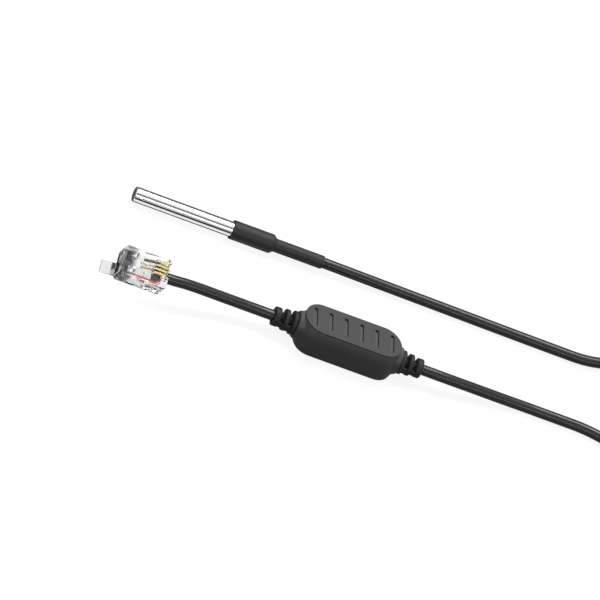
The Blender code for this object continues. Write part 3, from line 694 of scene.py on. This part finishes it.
@dataclass
class Studio:
    """Camera, lamps, pale world and floor."""

    aim: Vector = field(default_factory=lambda: Vector((-14.194, 6.522, 6.793)) * MM)
    right: Vector = field(default_factory=lambda: Vector((0.9093, 0.0224, 0.4156)))
    up: Vector = field(default_factory=lambda: Vector((-0.3319, 0.6416, 0.6918)))
    back: Vector = field(default_factory=lambda: Vector((-0.2512, -0.7670, 0.5908)))
    view_width: float = 150 * MM
    sensor: float = 36.0
    lens: float = 600.0
    floor_size: float = 6.0
    floor_drop: float = 0.02 * MM
    floor_base: float = 0.14
    # How light the floor glows to the camera, to reflections and to soft light
    floor_glow: tuple[float, float, float] = (0.89, 0.3, 0.1)
    # The world's own strength, and how much lighter it looks where it is seen
    world_lit: float = 0.3
    world_seen: float = 0.7
    # Name, place in metres, side in metres and power in watts
    lamps: Sequence[tuple] = (("key", (0.3, 0.6, 1.7), 0.7, 23.0), ("fill", (-1.1, -0.7, 1.4), 1.0, 6.0))
    wall_reach: float = 1.2
    wall_height: float = 1.0
    wall_level: float = 0.02
    # Elevation from the front and width, in degrees, and how light the card looks
    far_cards: Points = ((51.0, 28.0, 0.24), (157.0, 40.0, 0.1), (27.0, 5.0, 8.0))
    far_end: float = 3.0
    # Left, right, front and back end in millimetres, and how light the card looks
    # The third, dark strip beside the tube is a painted shadow: it stands for the tube's shadow on the floor,
    # as the steel reflects it
    low_cards: Sequence[tuple[float, ...]] = (
        (-80.0, 10.0, 11.0, 24.6, 0.03), (-80.0, 10.0, 24.6, 27.9, 0.95), (-80.0, 10.0, 27.9, 29.75, 0.03),
        (-66.0, -58.65, 29.0, 40.0, 0.1),
    )
    low_lift: float = 0.05 * MM

    def place_camera(self) -> None:
        """Stand the camera so far off, behind so long a lens, that the picture is almost parallel."""
        data = bpy.data.cameras.new("camera")
        data.sensor_width = self.sensor
        data.lens = self.lens
        data.clip_end = 100
        camera = add_object("camera", data)
        turn = Matrix((self.right, self.up, self.back)).transposed()
        distance = self.view_width * self.lens / self.sensor
        camera.matrix_world = Matrix.Translation(self.aim + distance * self.back) @ turn.to_4x4()
        bpy.context.scene.camera = camera

    def add_lamp(self, name: str, place: tuple[float, float, float], size: float, power: float) -> None:
        """Hang one square soft lamp that faces the object.

        Args:
            name: Name of the lamp.
            place: Where it hangs, in metres.
            size: Its side.
            power: Its power in watts.
        """
        data = bpy.data.lights.new(name, "AREA")
        data.size = size
        data.energy = power
        lamp = add_object(name, data)
        lamp.location = place
        lamp.rotation_euler = (self.aim - Vector(place)).to_track_quat("-Z", "Y").to_euler()

    def light(self) -> None:
        """Light the world softly, let it look white itself, mirrored and seen through, and hang the lamps."""
        bpy.context.scene.view_settings.view_transform = "Standard"
        world = bpy.data.worlds.new("studio")
        world.use_nodes = True
        bpy.context.scene.world = world
        tree = world.node_tree
        rays = add_node(tree, "LightPath", {}).outputs
        seen = mixed(tree, "MAXIMUM", rays["Is Camera Ray"], rays["Is Glossy Ray"])
        seen = mixed(tree, "MAXIMUM", seen, rays["Is Transmission Ray"])
        strength = mixed(tree, "MULTIPLY_ADD", seen, self.world_seen, self.world_lit)
        feed(tree, tree.nodes["Background"], {"Strength": strength, "Color": (1, 1, 1)})
        for lamp in self.lamps:
            self.add_lamp(*lamp)

    def lay_floor(self) -> None:
        """Lay a plain pale floor that shows white where it is lit and keeps the object's shadow."""
        material = self.matt_glow("pale_floor", self.floor_base)
        tree = material.node_tree
        rays = add_node(tree, "LightPath", {}).outputs
        seen, mirrored, bounced = self.floor_glow
        glow = mixed(tree, "MAXIMUM", rays["Is Camera Ray"], rays["Is Transmission Ray"])
        glow = mixed(tree, "MULTIPLY", glow, seen)
        glow = mixed(tree, "MULTIPLY_ADD", rays["Is Glossy Ray"], mirrored, glow)
        glow = mixed(tree, "MULTIPLY_ADD", rays["Is Diffuse Ray"], bounced, glow)
        feed(tree, tree.nodes["Principled BSDF"], {"Roughness": 1.0, "Emission Strength": glow})
        half = self.floor_size / 2
        corners = [(x, y, -self.floor_drop) for x, y in rectangle(-half, half, -half, half)]
        floor = sheet("floor", corners, material)

    def hang_cards(self) -> None:
        """Hang long cards along X and lay small ones by the probe, for the lines that its steel shows.

        Only reflections show them.
        """
        cards = []
        for number, (angle, width, level) in enumerate(self.far_cards, 1):
            middle, half = math.radians(angle), math.radians(width / 2)
            ends = [
                (x, -math.cos(middle + turn), math.sin(middle + turn))
                for x, turn in rectangle(-self.far_end, self.far_end, -half, half)
            ]
            cards.append((f"far_card_{number}", ends, level))
        for number, (*sides, level) in enumerate(self.low_cards, 1):
            ends = [(x * MM, y * MM, self.low_lift) for x, y in rectangle(*sides)]
            cards.append((f"low_card_{number}", ends, level))
        for name, ends, level in cards:
            card = sheet(name, ends, self.matt_glow(name, 0.0, level))
            card.visible_camera = card.visible_diffuse = False
            card.visible_shadow = card.visible_transmission = False

    def surround(self) -> None:
        """Stand a low dark wall all round, which shows only through the clear plastic, in its edges."""
        angle = full_turn(48)
        ring = self.wall_reach * np.stack([np.cos(angle), np.sin(angle), 0 * angle], -1)
        grid = np.stack([ring, ring + (0, 0, self.wall_height)])
        wall = surface("low_wall", grid, capped=False)
        wall.data.materials.append(self.matt_glow("low_wall", 0.0, self.wall_level))
        wall.visible_camera = wall.visible_diffuse = wall.visible_glossy = wall.visible_shadow = False

    def matt_glow(self, name: str, base: float, level: float = 0.0) -> Material:
        """A grey material without shine that glows evenly.

        Args:
            name: Name of the material.
            base: Its grey, 0 where lamps must not show on it.
            level: How light it glows.

        Returns:
            The material.
        """
        material = bpy.data.materials.new(name)
        material.use_nodes = True
        tree = material.node_tree
        feed(tree, tree.nodes["Principled BSDF"], {
            "Base Color": (base, base, base),
            "Specular IOR Level": 0.0,
            "Emission Color": (1, 1, 1),
            "Emission Strength": level,
        })
        return material


@dataclass
class Cables:
    """The round cable's two stretches: the short one to the plug, and the long one to the probe."""

    diameter: float = 2.8 * MM
    spacing: float = 0.7 * MM
    exit_height: float = 4.36 * MM
    exit_reach: float = 20.3 * MM
    coil_centre: tuple[float, float] = (100 * MM, 17.1 * MM)
    coil_outer: float = 22.0 * MM
    coil_columns: int = 6
    coil_bottom: float = 2.0 * MM
    coil_entry: float = math.radians(-107.9)
    coil_exit: float = math.radians(107.9)
    step_share: float = 0.2
    turn_points: int = 48
    # The routes are in millimetres
    plug_route: Points = (
        (-9.6, 0, 4.36), (-15, 0, 4.36), (-20.3, 0, 4.36), (-24.03, -0.08, 4.42), (-28.15, -0.46, 4.71),
        (-32.38, -1.15, 5.25), (-36.68, -2.05, 5.95), (-41.0, -2.99, 6.7), (-45.0, -3.86, 7.27),
        (-48.6, -4.52, 7.47), (-51.62, -4.71, 7.49),
    )
    out_route: Points = (
        (9.6, 0, 4.36), (15, 0, 4.36), (20.3, 0, 4.36), (26.05, 0.15, 4.24), (30.2, 0.61, 3.89),
        (34.43, 1.3, 3.36), (38.68, 2.07, 2.76), (42.93, 2.84, 2.17), (47.12, 3.41, 1.75),
        (51.23, 3.76, 1.5), (55.26, 3.84, 1.42), (60.5, 3.84, 1.42), (66, 3.75, 1.42),
        (70.5, 3.05, 1.45), (76, 1.45, 1.52), (81.6, -0.35, 1.65),
    )
    home_route: Points = (
        (81.6, 34.4, 3.05), (76, 32.65, 2.05), (70.5, 31.15, 1.6), (66, 30.45, 1.45), (60.3, 30.4, 1.42),
        (50.3, 30.47, 1.42), (38.3, 30.55, 1.47), (26.3, 30.6, 1.57), (16.26, 30.53, 1.72),
        (8.18, 30.31, 1.98), (0.04, 29.93, 2.36), (-6.6, 29.85, 2.5), (-15, 29.85, 2.5),
        (-33.6, 29.85, 2.5),
    )

    def winding(self) -> np.ndarray:
        """The coil: rings one diameter apart, each joined to the next by a smooth step, in two layers.

        The radius falls by one diameter at the end of each turn of the lower layer, the height rises
        by one diameter at its last turn's end, and the radius then grows again.

        Returns:
            Points of the centreline, in metres.
        """
        turns = 2 * self.coil_columns - 1 + (self.coil_exit - self.coil_entry) / (2 * math.pi)
        t = np.linspace(0, turns, round(turns * self.turn_points) + 1)
        whole = np.floor(t + 1e-9)
        steps = whole + eased((t - whole - (1 - self.step_share)) / self.step_share)
        inner = self.coil_columns - 1
        columns = np.minimum(steps, inner) - np.clip(steps - self.coil_columns, 0, inner)
        layer = np.clip(steps - inner, 0, 1)
        radius = self.coil_outer - self.diameter * columns
        angle = self.coil_entry + 2 * math.pi * t
        x, y = self.coil_centre
        height = self.coil_bottom + self.diameter * layer
        return np.stack([x + radius * np.cos(angle), y + radius * np.sin(angle), height], -1)

    def build(self, with_plug: Sequence[str]) -> None:
        """Args:
            with_plug: The pieces on the short cable's far end. Not used.
        """
        short = smooth_path(np.array(self.plug_route) * MM, self.spacing)
        piece = settle(tube("short_cable", short, self.diameter / 2), JACKET, "cable_to_plug")
        knots = np.vstack([np.array(self.out_route) * MM, self.winding(), np.array(self.home_route) * MM])
        long = smooth_path(knots, self.spacing)
        nodes = ("cable_to_coil", "cable_coil", "cable_to_probe")
        piece = settle(tube("long_cable", long, self.diameter / 2), JACKET, *nodes)
        LOG.info("cords: %.3f m and %.3f m", path_length(short), path_length(long))


@dataclass
class Module:
    """The pill-shaped inline module: tub, lid with grip slots, and a ringed relief at each end."""

    length: float = 26.4 * MM
    width: float = 10.7 * MM
    height: float = 8.72 * MM
    end: float = 4.8 * MM
    foot_flare: float = 0.25 * MM
    foot_round: float = 1.0 * MM
    rim_round: float = 0.2 * MM
    wall: float = 0.7 * MM
    cover_edge: float = 0.4 * MM
    seam: float = 0.3 * MM
    seam_shown: float = 0.14 * MM
    belly: float = 0.14 * MM
    belly_place: float = 0.8
    foot_fullness: float = 0.36
    tub_steps: int = 96
    # Widths of the rings that close the tub across
    closing_shares: tuple[float, float, float] = (0.0, 0.5, 0.94)
    spigot: float = 0.9 * MM
    slot_count: int = 6
    slot_pitch: float = 4.2 * MM
    slot_length: float = 6.74 * MM
    slot_width: float = 1.0 * MM
    slot_depth: float = 0.95 * MM
    lid_round: float = 0.06 * MM
    lid_draft: float = 0.05 * MM
    neck_reach: float = 1.0 * MM
    neck_radius: float = 3.25 * MM
    neck_slope: float = 3.2
    neck_squash: float = 0.9
    neck_blend: float = 0.3 * MM
    neck_fade: float = 0.4
    relief_start: float = 14.3 * MM
    stem_length: float = 1.2 * MM
    stem_radius: float = 2.1 * MM
    ring_count: int = 3
    ring_pitch: float = 2.2 * MM
    ring_length: float = 1.1 * MM
    last_ring: float = 1.6 * MM
    ring_radius: float = 3.1 * MM
    ring_step: float = 0.3 * MM
    crevice: float = 0.45 * MM
    ring_round: float = 0.22 * MM
    cable_bore: float = 1.55 * MM
    # Where the windows between two rings end, over the cable's axis and away from it
    window_height: float = 0.2 * MM
    window_radius: float = 2.9 * MM
    half_steps: int = 48

    def outline(self, inset: float, steps: int = 40, fullness: float = 2.0) -> np.ndarray:
        """The level outline: straight sides closed by half ellipses, drawn in by `inset` all round.

        Args:
            inset: How far it is drawn in.
            steps: Points of each half ellipse.
            fullness: Exponent of the end's curve: 2 is an ellipse, and more is nearer to a square.

        Returns:
            Points, n by 2.
        """
        angle = np.linspace(-np.pi / 2, np.pi / 2, steps)
        straight = self.length / 2 - self.end
        power = 2 / fullness
        x = straight + (self.end - inset) * np.abs(np.cos(angle)) ** power
        y = (self.width / 2 - inset) * np.sign(np.sin(angle)) * np.abs(np.sin(angle)) ** power
        return np.vstack([np.column_stack([x, y]), np.column_stack([-x, -y])])

    def build(self) -> None:
        """Make every piece of the module."""
        self.make_tub()
        self.make_lid()
        for name, side in (("strain_relief_right", 1), ("strain_relief_left", -1)):
            self.make_relief(name, side)

    def make_tub(self) -> None:
        """The tub: outlines stacked from the rounded foot to the rim, closed across at both heights.

        Its side leans in from the foot to the rim by the flare, and its belly follows a sine.
        """
        rim = self.height - self.cover_edge - self.seam_shown
        foot = np.linspace(0, np.pi / 2, 14)
        lip = foot[3::3]
        level = np.linspace(self.foot_round, rim - self.rim_round, 52)[1:]
        belly = np.sin(np.pi * (level / rim) ** self.belly_place) * self.belly
        draft = -self.foot_flare * (1 - (level - self.foot_round) / (level[-1] - self.foot_round)) - belly
        low_inset = self.foot_round * (1 - np.sin(foot)) - self.foot_flare
        inset = np.concatenate([low_inset, draft, self.rim_round * (1 - np.cos(lip))])
        top_height = rim - self.rim_round * (1 - np.sin(lip))
        height = np.concatenate([self.foot_round * (1 - np.cos(foot)), level, top_height])
        fullness = 2 + self.foot_fullness * (1 - height / rim)
        grid = np.stack([
            np.insert(self.outline(draw, self.tub_steps, full), 2, place, axis=1)
            for draw, full, place in zip(inset, fullness, height)
        ])
        grid = np.concatenate([self.closing(grid[0]), grid, self.closing(grid[-1])[::-1]])
        settle(surface("tub", self.with_necks(grid), capped=False, sharp=60), TUB, "module_body")

    def closing(self, ring: np.ndarray) -> np.ndarray:
        """Rings that shrink a level outline to its middle line, to close it across.

        Args:
            ring: The outline.

        Returns:
            Three rings, the innermost first.
        """
        rings = np.tile(ring, (len(self.closing_shares), 1, 1))
        rings[..., 1] *= np.array(self.closing_shares)[:, None]
        return rings

    def with_necks(self, grid: np.ndarray) -> np.ndarray:
        """Grow a neck out of each end of the tub.

        The neck is a cone about the cable's axis, whose reach along X falls with the distance from
        the axis. Where it passes the outline's end, the two are joined by a smooth maximum, the log of
        the sum of their exponentials.

        Args:
            grid: The tub's points.

        Returns:
            The points with x drawn out to the necks.
        """
        away = np.hypot(grid[..., 1], (grid[..., 2] - self.height / 2) * self.neck_squash)
        face = self.length / 2 + self.neck_reach
        neck = face - self.neck_slope * np.maximum(away - self.neck_radius, 0)
        end = np.abs(grid[..., 0])
        soft = self.neck_blend
        joined = np.minimum(soft * np.logaddexp(end / soft, neck / soft), face)
        share = eased((end - self.length / 2 + self.end) / (self.neck_fade * self.end))
        grid[..., 0] = np.sign(grid[..., 0]) * (end + (joined - end) * share)
        return grid

    def make_lid(self) -> None:
        """The lid: a plate with six slots through it, over a body that closes them and fills the tub, dressed
        darker as painted shade in the slots.
        """
        angle = full_turn(36)
        half = (self.slot_length - self.slot_width) / 2
        along = self.slot_width / 2 * np.sin(angle) + half * np.sign(np.sin(angle) + 1e-9)
        across = self.slot_width / 2 * np.cos(angle)
        holes = [
            np.column_stack([across + (i - (self.slot_count - 1) / 2) * self.slot_pitch, along])[::-1]
            for i in range(self.slot_count)
        ]
        edge = self.height - self.cover_edge
        plate = flat_shape("lid", self.outline(0), holes, edge, self.height, self.lid_round)
        settle(plate, LID, "module_cover")
        inset, top = self.wall + self.seam, self.height - self.slot_depth
        levels = ((inset, edge - self.spigot), (inset, top), (inset + self.lid_draft, top))
        rings = [np.insert(self.outline(draw), 2, height, axis=1) for draw, height in levels]
        # The body under the slots takes the darker relief finish: painted shade in the slots
        settle(surface("lid_body_painted_shade", np.stack(rings)), RELIEF)

    def make_relief(self, name: str, side: int) -> None:
        """A sleeve of rings: its radius is a function of the place along it and the angle round it.

        Between two rings the radius falls to the cable's bore over the upper half turn, and to a
        shallow crevice below.

        Args:
            name: The CAD node.
            side: 1 on the right, -1 on the left.
        """
        start, bore = self.relief_start, self.cable_bore
        stem = start - self.stem_length
        turn = np.linspace(0, np.pi / 2, 4)
        drop = self.ring_round * (1 - np.cos(turn))
        run = self.ring_round * (1 - np.sin(turn))
        # Rows of x, the radius of the upper half and the radius of the lower half
        rows = [(stem, self.stem_radius, self.stem_radius), (start, self.stem_radius, self.stem_radius)]
        for index in range(self.ring_count):
            outer = self.ring_radius - self.ring_step * index
            near = start + self.ring_pitch * index
            last = index == self.ring_count - 1
            far = near + (self.last_ring if last else self.ring_length)
            radius = outer - np.concatenate([drop[::-1], drop])
            rows += zip([*(near + run[::-1]), *(far - run)], radius, radius)
            if not last:
                rows += [(x, bore, outer - self.crevice) for x in (far, near + self.ring_pitch)]
        rows += [(far, bore, bore), (stem, bore, bore)]
        x, upper, lower = np.array(rows).T[..., None]
        reach = np.hstack([np.tile(upper, self.half_steps), np.tile(lower, self.half_steps)])
        sector = math.acos(self.window_height / self.window_radius)
        top, bottom = math.pi / 2, 3 * math.pi / 2
        angle = np.concatenate([
            np.linspace(top - sector, top + sector, self.half_steps),
            np.linspace(top + sector + 1e-4, bottom + math.pi - sector - 1e-4, self.half_steps),
        ])
        across, up = reach * np.cos(angle), self.height / 2 + reach * np.sin(angle)
        grid = np.stack([np.broadcast_to(side * x, reach.shape), across, up], -1)
        settle(surface(name + "_sleeve", np.vstack([grid, grid[:1]]), capped=False), RELIEF, name)


@dataclass
class Probe:
    """The steel tube and the shrunk boot that joins it to the cable."""

    centre: Vector = field(default_factory=lambda: Vector((0, 29.85, 2.5)) * MM)
    tip: float = -58.6 * MM
    length: float = 30.0 * MM
    radius: float = 2.0 * MM
    wall: float = 0.3 * MM
    tip_round: float = 0.35 * MM
    boot_start: float = -31.8 * MM
    boot_radius: float = 2.5 * MM
    boot_wide: float = 10.8 * MM
    boot_taper: float = 1.3 * MM
    boot_narrow: float = 13.1 * MM
    sleeve_radius: float = 1.725 * MM
    boot_bore: float = 2.15 * MM
    cable_bore: float = 1.55 * MM
    # Where the bore narrows, past the tube's mouth
    bore_taper: tuple[float, float] = (0.3 * MM, 2.5 * MM)
    # Places near the boot's ends, and how far the film is drawn in there
    lip_places: tuple[float, float, float] = (0.06 * MM, 0.2 * MM, 0.1 * MM)
    lip_drops: tuple[float, float, float] = (0.14 * MM, 0.04 * MM, 0.08 * MM)
    ripple: float = 0.008 * MM
    ripple_rates: tuple[float, float] = (1900.0, 700.0)

    def build(self) -> None:
        """Make the tube and the boot."""
        angle = np.linspace(0, np.pi / 2, 10)
        x = self.tip + self.tip_round * (1 - np.sin(angle))
        radius = self.radius - self.tip_round * (1 - np.cos(angle))
        mouth, inner, end = self.tip + self.length, self.radius - self.wall, self.tip + self.wall
        profile = [(self.tip, 0.0), *zip(x[::-1], radius[::-1])]
        profile += [(mouth, self.radius), (mouth, inner), (end, inner), (end, 0)]
        settle(turned("sheath", profile, self.centre, 96), STEEL, "probe_tube")
        self.make_boot()

    def make_boot(self) -> None:
        """The boot: wide on the steel, eased down onto the cable, with the slow ripple of shrunk film.

        The ripple is the product of two sines of the place along X.
        """
        start = self.boot_start
        end = start + self.boot_wide + self.boot_taper + self.boot_narrow
        edge, near, far = self.lip_places
        x = np.concatenate([[start, start + edge], np.linspace(start + near, end - far, 130), [end]])
        ease = eased((x - start - self.boot_wide) / self.boot_taper)
        fast, slow = self.ripple_rates
        radius = self.boot_radius + (self.sleeve_radius - self.boot_radius) * ease
        radius = radius + self.ripple * np.sin(x * fast) * np.sin(x * slow + 1)
        radius[[0, 1, -1]] -= self.lip_drops
        wide_end, narrow_start = (self.tip + self.length + place for place in self.bore_taper)
        inside = [
            (end, self.cable_bore), (narrow_start, self.cable_bore), (wide_end, self.boot_bore),
            (start, self.boot_bore), (start, radius[0]),
        ]
        profile = np.vstack([np.column_stack([x, radius]), inside])
        settle(turned("boot", profile, self.centre, 72), SHRINK, "heat_shrink_boot")


@dataclass
class Plug:
    """The clear plug with its contacts, its cores and the pressed end of the cable's jacket."""

    nose: Vector = field(default_factory=lambda: Vector((-51.02, -4.71, 7.49)) * MM)
    roll: float = math.radians(32)
    housing_edge: float = 0.08 * MM
    blade_edge: float = 0.05 * MM
    core_radius: float = 0.26 * MM
    core_spacing: float = 0.2 * MM
    press_start: float = 1.4 * MM
    press_length: float = 2.6 * MM
    press_wide: float = 4.6 * MM
    press_high: float = 2.1 * MM
    press_lift: float = -0.12 * MM
    # In millimetres, in the plug's own frame
    red_route: Points = ((0.7, 0.6, 0.0), (1.9, 1.9, 0.3), (3.2, 2.5, 0.6), (8.6, 2.5, 0.6))

    def build(self) -> list[str]:
        """Make or dress every piece of the plug.

        Returns:
            Names of the shown pieces, which sit on the short cable's far end.
        """
        housing = finer_copy("plug_housing", "clear_housing", self.housing_edge)
        names = [settle(housing, CLEAR).name]
        for number, finish in enumerate((CORE_BLACK, CORE_WHITE, CORE_YELLOW), 1):
            names += [self.add_blade(number), dress(bpy.data.objects[f"plug_core_{number}"], finish).name]
        names.append(self.add_blade(4))
        route = smooth_path(self.placed(*(np.array(self.red_route) * MM).T), self.core_spacing)
        red = tube("red_core", route, self.core_radius, 16)
        names += [settle(red, CORE_RED, "plug_core_4").name, settle(self.make_jacket_end(), JACKET).name]
        return names

    def add_blade(self, number: int) -> str:
        """Make the blade that stands for a contact, and give its name."""
        return settle(finer_copy(f"contact_{number}", f"blade_{number}", self.blade_edge), GOLD).name

    def placed(self, x: np.ndarray, y: np.ndarray, z: np.ndarray) -> np.ndarray:
        """Carry places of the plug's own frame, whose x runs from the nose to the mouth, to the row frame."""
        cosine, sine = math.cos(self.roll), math.sin(self.roll)
        return np.stack([-x, -cosine * y - sine * z, -sine * y + cosine * z], -1) + np.array(self.nose)

    def make_jacket_end(self) -> Thing:
        """The cable's jacket inside the nose, pressed flat: an ellipse that rounds off at both ends.

        Its size goes with the root of 1 less the sixth power of the place from its middle.
        """
        share = np.linspace(0, 1, 12)[:, None]
        swell = np.sqrt(1 - (2 * share - 1) ** 6)
        angle = full_turn(32)
        y = swell * self.press_wide / 2 * np.cos(angle)
        z = swell * self.press_high / 2 * np.sin(angle) + self.press_lift
        x = np.broadcast_to(self.press_start + self.press_length * share, y.shape)
        return surface("jacket_end", self.placed(x, y, z))


def dress_inner_pieces() -> None:
    """Give the CAD nodes inside the module and the tube their finishes, and the coil's tie its own."""
    finishes = {
        "circuit_board": BOARD, "converter_chip": PACKAGE, "capacitor_1": CERAMIC, "capacitor_2": CERAMIC,
        "resistor_1": PACKAGE, "sensor_chip": PACKAGE, "resin_seal": RESIN, "coil_tie": STRAP,
    }
    order = (CORE_BLACK, CORE_RED, CORE_YELLOW, CORE_WHITE)
    for label, count in (("plug_side_core", 4), ("probe_side_core", 3), ("sensor_core", 3)):
        finishes |= {f"{label}_{index + 1}": order[index] for index in range(count)}
    for node, finish in finishes.items():
        dress(bpy.data.objects[node], finish)


def main() -> None:
    """Build the studio, then the sensor piece by piece."""
    logging.basicConfig(level=logging.INFO, format="%(name)s: %(message)s")
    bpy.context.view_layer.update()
    studio = Studio()
    studio.place_camera()
    studio.light()
    studio.lay_floor()
    studio.hang_cards()
    studio.surround()
    with_plug = Plug().build()
    Cables().build(with_plug)
    Module().build()
    Probe().build()
    dress_inner_pieces()


if __name__ == "__main__":
    main()
